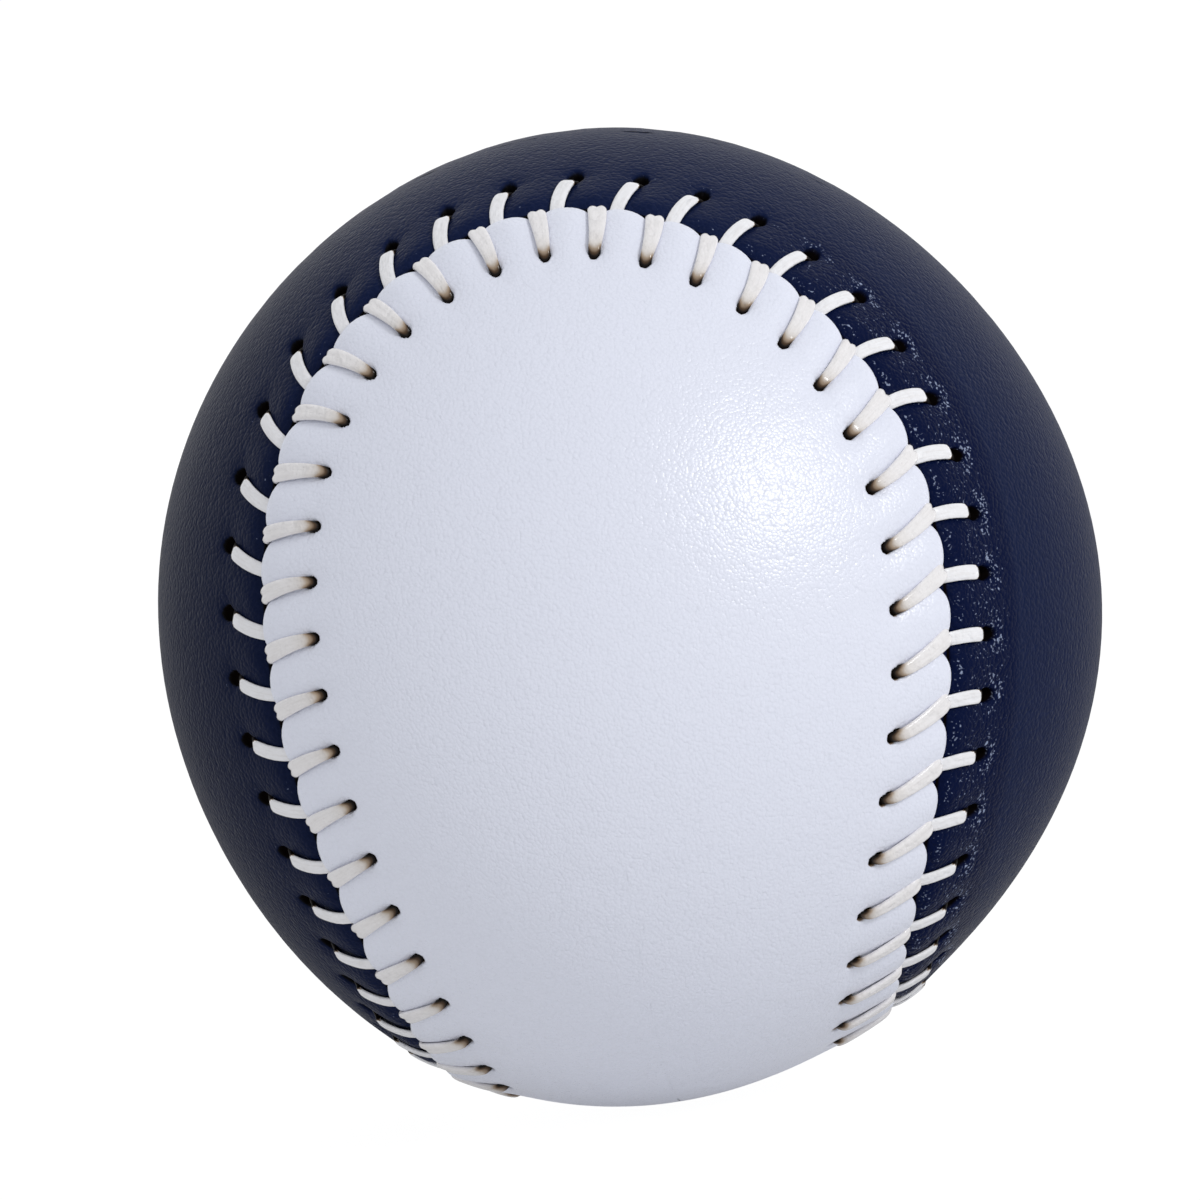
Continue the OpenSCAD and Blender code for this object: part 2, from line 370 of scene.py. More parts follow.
@dataclass
class LeatherPanel:
    """One figure-of-eight leather panel, as a sheet of columns that run from under the seam,
    over the stitch holes and in to the panel's middle line."""

    side: Side
    stitching: Stitching
    ball: Ball
    column_offsets: tuple[float, ...] = (0, 0.14, 0.28, 0.4, 0.5, 0.62, 0.8, 1.05, 1.4, 1.85)
    hole_row: float = 5.0
    rows_out: tuple[float, ...] = (
        0, 0.03, 0.08, 0.15, 0.24, 0.35, 0.48, 0.64, 0.82, 1.02, 1.25, 1.5, 1.75, 2.0, 2.25, 2.5,
        2.75, 3.0, 3.25, 3.5, 3.7, 3.88, 4.02, 4.14, 4.26, 4.38, 4.5, 4.62, 4.74, 4.86, 4.98,
        5.1, 5.22, 5.34, 5.46, 5.58, 5.7, 5.84, 6.0, 6.2, 6.45, 6.75, 7.1, 7.5, 8.0, 8.6, 9.3)
    lip_rows: tuple[Span, ...] = (
        (2.2, -1.2), (1.6, -0.82), (1.0, -0.68), (0.5, -0.6), (0.22, -0.54), (0.07, -0.46),
        (0.015, -0.38))
    tuck_rows: tuple[Span, ...] = (
        (-2.4, -1.2), (-2.0, -0.8), (-1.5, -0.7), (-1.0, -0.66), (-0.6, -0.63), (-0.3, -0.58),
        (-0.15, -0.55))
    coarse: int = 4
    middle_rows: int = 13
    middle_gather: float = 1.25
    spine_reach: float = math.radians(115)
    spine_stations: int = 120
    hole_half: Span = (0.49, 0.66)
    hole_shift: float = 0.2
    hole_wall: Span = (0.84, 1.08)
    hole_floor: float = 35.8
    dimple: Span = (0.12, 1.25)  # depth and reach
    puff: Span = (0.34, 1.5)  # height and distance from the edge
    press: float = 0.2
    press_half: float = 0.6
    press_start: Span = (-0.2, 0.6)
    rim: Span = (0.1, 3.2)  # height and reach, on the white side
    shoulder: Triple = (0.62, 0.45, 0.3)  # drop, place and width, on the navy
    # Span and strength of the painted shade on the navy along the white panel's edge.
    cut_and_shade: Span = (0.05, 0.3)
    edge_painted_shade: float = 0.5
    dip: Span = (0.95, 1.8)  # depth and power
    dip_reach: float = 2.6
    dip_power: float = 1.5
    skew: Triple = (0.1, 2.2, 0.3)  # share, sharpness and turn
    lip_relief_at: float = 0.01
    roll: Span = (0.3, 0.2)  # width and depth
    seam_light_paint: SeamLightPaint = SeamLightPaint()

    def columns(self) -> Array:
        """Spaces the columns, close together at each stitch.

        Returns:
            Their stitch numbers.
        """
        shares = np.array(self.column_offsets) / self.stitching.seam.pitch
        one = np.concatenate((shares, [0.5], 1 - shares[:0:-1]))
        return (np.arange(self.stitching.seam.stitches)[:, None] + one).ravel()

    def span(self, g: Array) -> Array:
        """The distance from the white edge to the holes at some stitch numbers."""
        holes, edges = self.stitching.hole(g, self.side), self.stitching.crossing(g, self.side)
        return np.abs(holes[1] - edges[1])

    def scallop(self, g: Array) -> Array:
        """How far the edge is pulled in, deepest beside each stitch on the side away from its
        partner.

        Args:
            g: Stitch numbers.

        Returns:
            The distance at each.
        """
        depth, power = self.dip
        share, sharpness, turned = self.skew
        away = g - share * np.clip(sharpness * np.sin(self.stitching.turn(g) - turned), -1, 1)
        return depth * (1 - 2 * np.abs(away - np.round(away))) ** power

    def height(self, share: Array, v: Array, past: Array) -> tuple[Array, Array, Array]:
        """The leather's relief.

        Args:
            share: Distance from the nearest stitch along the seam, as a share of a spacing.
            v: Distance in from the white edge.
            past: Distance past the row of holes.

        Returns:
            Heights over the ball's level without the holes, how far down a hole each point is from
            0 to 1, and how much painted shade it takes: in the holes, and on the navy along the
            white edge.
        """
        aside = share * self.stitching.seam.pitch
        half_w, half_l = self.hole_half
        off_hole = past + self.hole_shift
        pit = 1 - smooth(np.hypot(aside / half_w, off_hole / half_l), *self.hole_wall)
        depth, reach = self.dimple
        dimple = depth * bell(np.hypot(aside, off_hole), reach)
        press = self.press * bell(aside, self.press_half) * smooth(-past, *self.press_start)
        rise, at = self.puff
        v0 = np.maximum(v, 0)
        puff = rise * np.sin(np.pi * share) ** 2 * (v0 / at) * np.exp(1 - v0 / at)
        if self.side is Side.WHITE:
            rim, fade = self.rim
            return rim * np.exp(-v0 / fade) + puff - press - dimple, pit, pit
        drop, middle, width = self.shoulder
        shoulder = -drop / (1 + np.exp((v - middle) / width))
        # Painted shade on the navy along the white panel's edge, darkest right next to it.
        painted_shade_share = self.edge_painted_shade * (1 - smooth(v, *self.cut_and_shade))
        return shoulder + puff - press * smooth(v, 0, 1) - dimple, pit, np.maximum(pit, painted_shade_share)

    def painted_seam_marks(self, g: Array, v: Array, past: Array) -> Marks:
        """Where shade and glints are painted near the seam.

        Args:
            g: Stitch numbers.
            v: Distances in from the white edge.
            past: Distances past the row of holes.

        Returns:
            How much painted shade darkens it, and how thickly painted glints fleck it, each from 0
            to 1.
        """
        p, share = self.seam_light_paint, g - np.round(g)
        # The part of the seam that takes painted shade and painted glints.
        seam_shade_paint = smooth(np.sin(self.stitching.turn(g)), *p.seam_part)
        middle, radius, width = p.ring
        away = np.hypot(share * self.stitching.seam.pitch, past - middle)
        ring = bell(away - radius, width) * smooth(past, *p.ring_start)
        place, width = p.shoulder
        shoulder = bell(v - place, width) * np.sin(np.pi * share) ** 2
        band = smooth(v, *p.band_start) * (1 - smooth(v, *p.band_end)) * p.band_share
        # Painted glints: in a ring past each hole, on the shoulder between stitches and sparse in a
        # band.
        glint = (p.least + (1 - p.least) * seam_shade_paint) * np.maximum(ring, shoulder) + seam_shade_paint * band
        return {"taut": seam_shade_paint * (1 - smooth(v, *p.painted_shade_end)), "glint": np.clip(glint, 0, 1)}

    def row(
        self, g: Array, v: Array, shown: Array, drop: float | None = None
    ) -> tuple[Array, Marks, Array]:
        """One row of the sheet.

        Args:
            g: The columns' stitch numbers.
            v: Distances in from the white edge.
            shown: The distances whose relief the row takes.
            drop: How far a row without holes is moved up or down.

        Returns:
            Its points, values at each point by name, and its directions.
        """
        edge_s, edge_u = self.stitching.crossing(g, self.side)
        run = self.stitching.hole(g, self.side)[0] - edge_s
        span = self.span(g)
        along = edge_s + run * np.clip(v / span, 0, 1)
        ways = self.stitching.seam.way(along, edge_u + self.side.value * v)
        h, pit, painted_shade_share = self.height(g - np.round(g), shown, v - span)
        if drop is not None:
            h, pit, painted_shade_share = h + drop, pit * 0, pit * 0
        level = np.linalg.norm(self.ball.skin(ways, h * 0), axis=-1)
        points = self.ball.skin(ways, h + pit * (self.hole_floor - level - h))
        return points, {"pit": painted_shade_share, **self.painted_seam_marks(g, v, v - span)}, ways

    def sheet(self) -> tuple[Array, Marks, Array]:
        """The panel's fine rows along its edge.

        Returns:
            Points by row and column, values at each point by name, and the directions of the
            last row's coarse columns.
        """
        g = self.columns()
        span = self.span(g)
        white = self.side is Side.WHITE
        inset = self.scallop(g) if white else np.zeros_like(g)
        rows = []
        for v, drop in self.lip_rows if white else self.tuck_rows:
            start = v + inset
            shown = np.full_like(g, self.lip_relief_at) if white else start
            mean = 0 if white else self.height(g - np.round(g), start, start - span)[0].mean()
            rows.append(self.row(g, start, shown, drop - mean))
        for w in self.rows_out:
            v = w * span / self.hole_row
            v = v + inset * np.clip(1 - w / self.dip_reach, 0, 1) ** self.dip_power
            points, marks, ways = self.row(g, v, v)
            if white and w < self.hole_row / 2:
                width, depth = self.roll
                bend = np.clip(1 - (v - inset) / width, 0, 1)
                roll = depth * (1 - np.sqrt(1 - bend**2))
                points = points - unit(points) * roll[:, None]
            rows.append((points, marks, ways))
        values = {label: np.array([marks[label] for _, marks, _ in rows]) for label in rows[0][1]}
        return np.array([points for points, _, _ in rows]), values, rows[-1][2][:: self.coarse]

    def build(self, name: str) -> Object:
        """Builds the panel.

        Args:
            name: The piece's name.

        Returns:
            Its object.
        """
        fine, values, rim_ways = self.sheet()
        rows, columns = fine.shape[:2]
        g = self.columns()[:: self.coarse]
        angle = self.stitching.seam.angle_at(self.stitching.hole(g, self.side)[0])
        white = self.side is Side.WHITE
        spread = np.cos(angle) if white else np.sin(angle)
        tie = np.round((1 - spread) / 2 * self.spine_stations).astype(int)
        stations = self.spine_stations
        turns = self.spine_reach * (1 - 2 * np.arange(stations + 1) / stations)
        zero, sine, cosine = np.zeros_like(turns), np.sin(turns), np.cos(turns)
        spine = np.stack([zero, -sine, -cosine] if white else [sine, zero, cosine], -1)
        middle = []
        for k in range(1, self.middle_rows):
            t = (k / self.middle_rows) ** self.middle_gather
            ways = unit(rim_ways * (1 - t) + spine[tie] * t)
            middle.append(self.ball.skin(ways, np.zeros(len(ways))))
        ends = self.ball.skin(spine, zero)
        points = np.concatenate([fine.reshape(-1, 3), np.array(middle).reshape(-1, 3), ends])
        rest = np.zeros(len(points) - rows * columns)
        marks = {label: np.concatenate((value.ravel(), rest)) for label, value in values.items()}
        return make_object(name, points, self.faces(rows, columns, tie), marks)

    def faces(self, rows: int, columns: int, tie: Array) -> Faces:
        """The sheet's faces, facing outwards.

        Args:
            rows: Fine rows.
            columns: Fine columns.
            tie: The station on the middle line that each coarse column ends at.

        Returns:
            The faces as point numbers.
        """
        found: Faces = []
        for r in range(rows - 1):
            found += ring_faces(r * columns, (r + 1) * columns, columns)
        last, first, count = (rows - 1) * columns, rows * columns, len(tie)
        step = self.coarse
        for j in range(count):
            edge = [last + (j * step + k) % columns for k in range(step + 1)]
            a, b, half = first + j, first + (j + 1) % count, step // 2
            found += [(edge[k], edge[k + 1], a) for k in range(half)]
            found.append((edge[half], b, a))
            found += [(edge[k], edge[k + 1], b) for k in range(half, step)]
        for r in range(self.middle_rows - 2):
            found += ring_faces(first + r * count, first + (r + 1) * count, count)
        low = first + (self.middle_rows - 2) * count
        ends = low + count
        for j in range(count):
            n = (j + 1) % count
            quad = (low + j, low + n, ends + int(tie[n]), ends + int(tie[j]))
            found.append(quad if tie[n] != tie[j] else quad[:3])
        return found if self.side is Side.NAVY else [f[::-1] for f in found]


@dataclass(frozen=True)
class Leg:
    """The form of a stitch's leg: rings from its hole to the seam, each with its share of the run,
    the height of its middle, its half width, how deep its groove is and how dark it is, with brown
    stain and painted shade where it goes down its hole."""

    rings: tuple[tuple[float, ...], ...]
    half_thick: float
    bow: float
    over: float
    lump: float
    tip: float
    pale: float


WHITE_LEG = Leg(
    rings=(
        (-0.05, -1.35, 0.38, 0, 1), (-0.03, -0.95, 0.41, 0, 1), (-0.005, -0.62, 0.43, 0, 1),
        (0.02, -0.38, 0.445, 0.01, 0.85), (0.045, -0.19, 0.455, 0.02, 0.58),
        (0.07, -0.04, 0.46, 0.03, 0.36), (0.095, 0.06, 0.465, 0.04, 0.22),
        (0.12, 0.125, 0.475, 0.05, 0.16), (0.155, 0.17, 0.485, 0.06, 0.12),
        (0.21, 0.205, 0.505, 0.08, 0.09), (0.32, 0.225, 0.55, 0.1, 0.055),
        (0.44, 0.23, 0.595, 0.12, 0.02), (0.56, 0.235, 0.64, 0.14, 0),
        (0.68, 0.24, 0.675, 0.18, 0), (0.79, 0.24, 0.7, 0.23, 0), (0.87, 0.22, 0.71, 0.28, 0),
        (0.925, 0.16, 0.71, 0.33, 0), (0.96, 0.07, 0.7, 0.36, 0), (0.985, -0.07, 0.67, 0.36, 0),
        (1, -0.28, 0.6, 0.35, 0), (1, -0.8, 0.53, 0.35, 0)),
    half_thick=0.26, bow=0.14, over=-0.05, lump=0.09, tip=0.055, pale=0)
NAVY_LEG = Leg(
    rings=(
        (-0.06, -1.4, 0.34, 0, 1), (-0.04, -0.9, 0.38, 0, 1), (0, -0.62, 0.42, 0, 1),
        (0.05, -0.42, 0.44, 0, 1), (0.1, -0.28, 0.47, 0, 1), (0.14, -0.15, 0.5, 0.05, 1),
        (0.17, -0.04, 0.52, 0.05, 1), (0.185, 0.05, 0.54, 0.06, 0), (0.205, 0.11, 0.555, 0.08, 0),
        (0.235, 0.16, 0.57, 0.1, 0), (0.29, 0.185, 0.58, 0.12, 0), (0.38, 0.18, 0.58, 0.12, 0),
        (0.5, 0.15, 0.575, 0.1, 0), (0.62, 0.09, 0.57, 0.08, 0), (0.72, 0, 0.56, 0.06, 0),
        (0.8, -0.12, 0.55, 0.05, 0), (0.87, -0.24, 0.54, 0.05, 0), (0.94, -0.34, 0.54, 0.05, 0),
        (1, -0.42, 0.53, 0.05, 0)),
    half_thick=0.19, bow=-0.22, over=-0.75, lump=0, tip=0.06, pale=1)


@dataclass
class WaxedThread:
    """One of the two threads: every other leg on each side of the seam."""

    first: int
    stitching: Stitching
    ball: Ball
    around: int = 32
    squareness: float = 2.6
    unevenness: float = 0.035
    groove_half: float = 0.3
    notch_half: float = 0.25
    corner: float = 2.6
    blunt_part: Span = (0.86, 0.97)
    tip_power: float = 2.5
    tuck_turn: float = 0.87
    tuck_from: float = 0.93
    tuck: Span = (-0.55, -0.1)
    draw: float = -0.2

    def ends(self, i: int, side: Side, leg: Leg) -> tuple[Array, Array]:
        """Where a leg starts and ends, each along and across the seam.

        Args:
            i: The stitch.
            side: The side of the seam.
            leg: The leg's form.

        Returns:
            The hole and the end at the seam.
        """
        g = np.array([float(i)])
        hole = np.array(self.stitching.hole(g, side))[:, 0]
        end = np.array(self.stitching.crossing(g, side))[:, 0]
        end[1] += leg.over
        if side is Side.WHITE:
            turn = self.stitching.turn(g[0])
            tucked = smooth(np.cos(turn - self.tuck_turn), self.tuck_from, 1)
            along, across = self.tuck
            end += (along * tucked, self.draw * abs(np.sin(turn)) + across * tucked)
        return hole, end

    def tube(self, leg: Leg, hole: Array, end: Array, wobble: Array) -> tuple[Array, Marks]:
        """One leg.

        Args:
            leg: Its form.
            hole: Where it starts, along and across the seam.
            end: Where it ends.
            wobble: Small differences from the even run, of bow, width and height.

        Returns:
            Rings of points, and values at each point.
        """
        t, height, half_width, groove, dark = np.array(leg.rings).T
        course = end - hole
        square = np.array([course[1], -course[0]]) / np.linalg.norm(course)
        bow = (leg.bow + wobble[0]) * np.sin(np.pi * np.clip(t, 0, 1)) * np.sign(course[1])
        place = hole + course * t[:, None] + square * bow[:, None]
        ways = self.stitching.seam.way(place[:, 0], place[:, 1])
        middle = self.ball.skin(ways, height + wobble[2])
        run = middle[-1] - middle[0]
        sideways = unit(np.cross(ways, run))
        up = np.cross(sideways, unit(np.gradient(middle, axis=0)))
        forward = np.cross(sideways, ways)
        angle = np.linspace(0, 2 * np.pi, self.around, endpoint=False)
        across, rise = (
            np.sign(w) * np.abs(w) ** (2 / self.squareness)
            for w in (np.cos(angle), np.sin(angle)))
        rise = rise * (1 - groove[:, None] * bell(across, self.groove_half))
        width = half_width * (1 + wobble[1])
        blunt = leg.lump * (bell(across, self.notch_half) + self.corner * across**4)
        back = smooth(t, *self.blunt_part)[:, None] * blunt * np.sign(np.sum(forward[0] * run))
        rings = (
            middle[:, None]
            + sideways[:, None] * (width[:, None] * across)[..., None]
            + up[:, None] * (rise * leg.half_thick)[..., None]
            - forward[:, None] * back[..., None]
        )
        # How far into the dark root each point lies: brown stain, then painted shade down the hole.
        reach = t[:, None] - leg.tip * np.abs(across) ** self.tip_power
        order = np.arange(len(t)) * 1e-6  # parts rings that share a place
        marks = {
            "run": t[:, None] * np.linalg.norm(run) + hole[0] + 0 * across,
            "side": across * width[:, None],
            "dark": np.interp(reach, t + order, dark),
            "pale": leg.pale + 0 * reach,
        }
        return rings, marks

    def build(self, name: str, seed: int) -> Object:
        """Builds the thread's legs.

        Args:
            name: The piece's name.
            seed: Seed for its small unevenness.

        Returns:
            Its object.
        """
        rng = np.random.default_rng(seed)
        points: list[Array] = []
        faces: Faces = []
        marks: dict[str, list[Array]] = {}
        count = 0
        for side, leg, start in (
            (Side.WHITE, WHITE_LEG, self.first), (Side.NAVY, NAVY_LEG, 1 - self.first)
        ):
            for i in range(start, self.stitching.seam.stitches, 2):
                hole, end = self.ends(i, side, leg)
                rings, values = self.tube(leg, hole, end, rng.normal(0, self.unevenness, 3))
                points.append(rings.reshape(-1, 3))
                for label, value in values.items():
                    marks.setdefault(label, []).append(value.ravel())
                faces += self.faces(count, len(rings))
                count += rings.shape[0] * self.around
        joined = {label: np.concatenate(values) for label, values in marks.items()}
        return make_object(name, np.concatenate(points), faces, joined)

    def faces(self, first: int, rings: int) -> Faces:
        """A leg's faces, facing outwards.

        Args:
            first: Its first point.
            rings: Its rings.

        Returns:
            The faces as point numbers.
        """
        n = self.around
        last = first + (rings - 1) * n
        found = [
            (a, d, c, b)
            for low in range(first, last, n) for a, b, c, d in ring_faces(low, low + n, n)]
        return found + [tuple(range(first, first + n)), tuple(range(last + n - 1, last - 1, -1))]


class Value:
    """A shader socket that takes part in arithmetic, as numbers or as vectors and colours."""

    def __init__(self, shader: "Shader", socket: NodeSocket | None) -> None:
        """Wraps a socket of a shader's node."""
        self.shader, self.socket = shader, socket

    def _join(self, operation: str, *pair: Operand) -> "Value":
        """Adds a Math node, or a Vector Math node unless both operands are plain numbers.

        Args:
            operation: The node's operation.
            pair: The operands, in order.

        Returns:
            The result.
        """
        kind = "Math"
        if not all(
            x.socket.type == "VALUE" if isinstance(x, Value) else isinstance(x, (int, float))
            for x in pair
        ):
            kind = "VectorMath"
            pair = ((x, x, x) if isinstance(x, (int, float)) else x for x in pair)
        return self.shader.node(kind, dict(enumerate(pair)), {"operation": operation})

    def __add__(self, other: Operand) -> "Value":
        """The sum."""
        return self._join("ADD", self, other)

    __radd__ = __add__

    def __sub__(self, other: Operand) -> "Value":
        """The difference."""
        return self._join("SUBTRACT", self, other)

    def __rsub__(self, other: Operand) -> "Value":
        """The difference from another."""
        return self._join("SUBTRACT", other, self)

    def __mul__(self, other: Operand) -> "Value":
        """The product."""
        return self._join("MULTIPLY", self, other)

    __rmul__ = __mul__

    def dot(self, way: Triple) -> "Value":
        """The share of a vector along a direction."""
        inputs = {0: self, 1: way}
        return self.shader.node("VectorMath", inputs, {"operation": "DOT_PRODUCT"}, "Value")

    def step(self, low: float, high: float) -> "Value":
        """A smooth step from 0 at low to 1 at high."""
        inputs = {"Value": self, "From Min": low, "From Max": high}
        return self.shader.node("MapRange", inputs, {"interpolation_type": "SMOOTHSTEP"})


class Shader:
    """The nodes of a material or of the world, under construction."""

    def __init__(self, owner: Material | World) -> None:
        """Empties the owner's node tree.

        Args:
            owner: The material or world.
        """
        self.owner = owner
        owner.use_nodes = True
        self.tree = owner.node_tree
        self.tree.nodes.clear()

    @classmethod
    def material(cls, name: str) -> "Shader":
        """Starts a new material."""
        return cls(bpy.data.materials.new(name))

    def node(
        self, kind: str, inputs: Inputs | None = None, settings: Inputs | None = None,
        output: int | str = 0
    ) -> Value:
        """Adds a node.

        Args:
            kind: The node's type, without the words ShaderNode.
            inputs: Values or links of its sockets, by name or number.
            settings: Its settings, set first; "stops" gives a ramp's places and colours.
            output: Which output is returned.

        Returns:
            The output's socket.
        """
        node = self.tree.nodes.new("ShaderNode" + kind)
        for key, value in (settings or {}).items():
            if key == "stops":
                ramp = node.color_ramp
                for _ in range(len(value) - 2):
                    ramp.elements.new(0.5)
                for element, (place, colour) in zip(ramp.elements, value):
                    element.position, element.color = place, (*colour, 1)
            else:
                setattr(node, key, value)
        for key, value in (inputs or {}).items():
            socket = node.inputs[key]
            if isinstance(value, Value):
                self.tree.links.new(value.socket, socket)
            elif socket.type == "RGBA" and len(value) == 3:
                socket.default_value = (*value, 1)
            else:
                socket.default_value = value
        return Value(self, node.outputs[output] if node.outputs else None)

    def mark(self, name: str) -> Value:
        """A value that the mesh carries."""
        return self.node("Attribute", settings={"attribute_name": name}, output="Fac")

    def position(self) -> Value:
        """Places on the object, in millimetres."""
        return self.node("TexCoord", output="Object") * (1 / MM)

    def noise(self, where: Value, scale: float, detail: float = 3.0, rough: float = 0.55) -> Value:
        """Cloudy noise from 0 to 1, with cells of about 1 / scale."""
        inputs = {"Vector": where, "Scale": scale, "Detail": detail, "Roughness": rough}
        return self.node("TexNoise", inputs)

    def cells(self, where: Value, scale: float, feature: str = "F1") -> Value:
        """Distance in a pattern of cells."""
        inputs = {"Vector": where, "Scale": scale}
        return self.node("TexVoronoi", inputs, {"feature": feature}, "Distance")

    def mix(self, factor: Operand, first: Operand, second: Operand) -> Value:
        """Mixes two colours."""
        inputs = {0: factor, 6: first, 7: second}
        return self.node("Mix", inputs, {"data_type": "RGBA"}, 2)

    def bump(self, height: Value, distance: float, over: Value | None = None) -> Value:
        """Turns a height into a normal.

        Args:
            height: The height, from 0 to 1.
            distance: The millimetres that it stands for.
            over: The normal that it is laid over.

        Returns:
            The normal.
        """
        inputs = {"Height": height, "Distance": distance * MM, "Strength": 1.0}
        if over is not None:
            inputs["Normal"] = over
        return self.node("Bump", inputs, output="Normal")

    def finish(self, surface: Value | Inputs) -> Material:
        """Adds the output.

        Args:
            surface: The surface's shader, or the sockets of a Principled shader.

        Returns:
            The finished material.
        """
        if isinstance(surface, dict):
            surface = self.node("BsdfPrincipled", surface)
        self.node("OutputMaterial", {"Surface": surface})
        return self.owner


@dataclass(frozen=True)
class Leather:
    """Smooth grained leather, wrinkled; on the navy it takes painted shade near part of the seam
    and towards the ball's left, and painted glints near the seam.
    """

    name: str
    colour: Colour
    shade: Colour
    # The cut colour of the hole walls is partly the cut leather's own colour and partly painted
    # shade; the deep colour is painted shade deep in the holes.
    cut_and_shade: Colour
    painted_hole_shade: Colour
    roughness: float
    shine: float
    grain: float
    fineness: float
    sheen: float = 0
    # The darker blue of the painted shade near the seam, and the colour of the painted glints.
    seam_shade_paint: Colour | None = None
    painted_glint_colour: Colour = (0.27, 0.32, 0.46)
    # Painted shade towards the ball's left: its strength, colour and reach along x in millimetres.
    painted_left_shade: float = 0
    painted_left_shade_tone: Colour = (0.001, 0.001, 0.002)
    painted_left_shade_reach: Span = (-34, -8)
    warp: float = 0.45
    undulation: float = 0.08

    def material(self) -> Material:
        """Makes the leather.

        Returns:
            Its material.
        """
        s = Shader.material(self.name)
        where, pit = s.position(), s.mark("pit")
        cloud = {"Vector": where, "Scale": 0.8, "Detail": 1}
        drift = s.node("TexNoise", cloud, output="Color")
        warped = where + (drift - 0.5) * self.warp
        pebbles = s.cells(warped, self.fineness)
        pores = s.noise(warped, self.fineness * 1.9, 2, 0.6)
        tone = s.mix(pebbles * 0.9 + (pores - 0.5) * 0.7, self.colour, self.shade)
        # Painted shade: the navy is darkened where x is below about -8 mm, most below -34 mm.
        if self.painted_left_shade:
            left = 1 - where.dot((1, 0, 0)).step(*self.painted_left_shade_reach)
            tone = s.mix(left * self.painted_left_shade, tone, self.painted_left_shade_tone)
        # Hole walls and, on the navy, the white edge take the cut colour: partly cut leather,
        # partly painted shade.
        tone = s.mix(pit.step(0.02, 0.2), tone, self.cut_and_shade)
        soft = s.bump(s.noise(where, 0.3, 2), self.undulation)
        normal = s.bump(pores * 0.4 - pebbles * pebbles * 1.6, self.grain, soft)
        skin = s.node("BsdfPrincipled", {
            "Base Color": tone, "Roughness": self.roughness + (pores - 0.5) * 0.1, "Normal": normal,
            "Specular IOR Level": self.shine, "Sheen Weight": self.sheen, "Sheen Roughness": 0.15,
            "Sheen Tint": (1, 0.96, 0.84)})
        if self.seam_shade_paint is not None:
            # Painted shade near part of the seam: a darker blue in a dull shader with no sheen.
            taut, glint = s.mark("taut"), s.mark("glint")
            # Painted glints: light flecks in the base colour, thickest where the mesh marks glints.
            specks = s.noise(warped + 9.0, 4.2, 1, 0.5) + glint * 0.17
            painted_flecks = specks.step(0.69, 0.88) * glint.step(0.02, 0.2) * (1 - pit)
            seam_shade_tone = s.mix(painted_flecks, s.mix(0.8, tone, self.seam_shade_paint), self.painted_glint_colour)
            seam_shade_skin = s.node("BsdfPrincipled", {
                "Base Color": seam_shade_tone, "Roughness": 0.35, "Normal": normal,
                "Specular IOR Level": 0.03})
            skin = s.node("MixShader", {0: taut * 0.9 + painted_flecks, 1: skin, 2: seam_shade_skin})
        # A flat dark diffuse in the holes and along the navy's white edge: painted shade.
        hole_shade_skin = s.node("BsdfDiffuse", {"Color": self.painted_hole_shade})
        return s.finish(s.node("MixShader", {0: pit.step(0.1, 0.5), 1: skin, 2: hole_shade_skin}))


@dataclass(frozen=True)
class WaxedCotton:
    """Waxed cotton thread with fibres along it, browned and darkened with painted shade where it
    goes down a hole.
    """

    name: str
    colour: Colour
    shade: Colour
    navy_leg_tone: Colour
    root_stain_and_shade: tuple[tuple[float, Colour], ...]
    fibre_spread: Triple = (0.45, 4.0, 0.05)
    fibre_relief: float = 0.045
    lump_relief: float = 0.26
    wax: float = 0.9
    navy_leg_dulls: float = 0.4

    def material(self) -> Material:
        """Makes the thread.

        Returns:
            Its material.
        """
        s = Shader.material(self.name)
        along, side, dark, pale = (s.mark(name) for name in ("run", "side", "dark", "pale"))
        stretch, across, rise = self.fibre_spread
        lay = s.node("CombineXYZ", {0: along * stretch, 1: side * across, 2: along * rise})
        fibres = s.noise(lay, 1.5, 3, 0.6)
        lumps = s.noise(s.position(), 1.3, 2)
        # Legs on the navy side are paler and bluer, with less wax gloss.
        tone = s.mix(pale, self.colour, self.navy_leg_tone)
        tone = s.mix(fibres.step(0.4, 0.75) * 0.4 + (lumps - 0.4) * 0.4, tone, self.shade)
        # Brown stain that fades into painted shade where the thread goes down a hole.
        root = s.node("ValToRGB", {0: dark + (lumps - 0.5) * 0.15}, {"stops": self.root_stain_and_shade})
        tone = s.mix(dark.step(0.0, 0.25), tone, root)
        normal = s.bump(fibres, self.fibre_relief, s.bump(lumps, self.lump_relief))
        return s.finish({
            "Base Color": tone, "Roughness": 0.42 + (fibres - 0.5) * 0.2, "Normal": normal,
            "Specular IOR Level": 0.06, "Coat Roughness": 0.14,
            "Coat Weight": (self.wax - pale * self.navy_leg_dulls) * (1 - dark)})


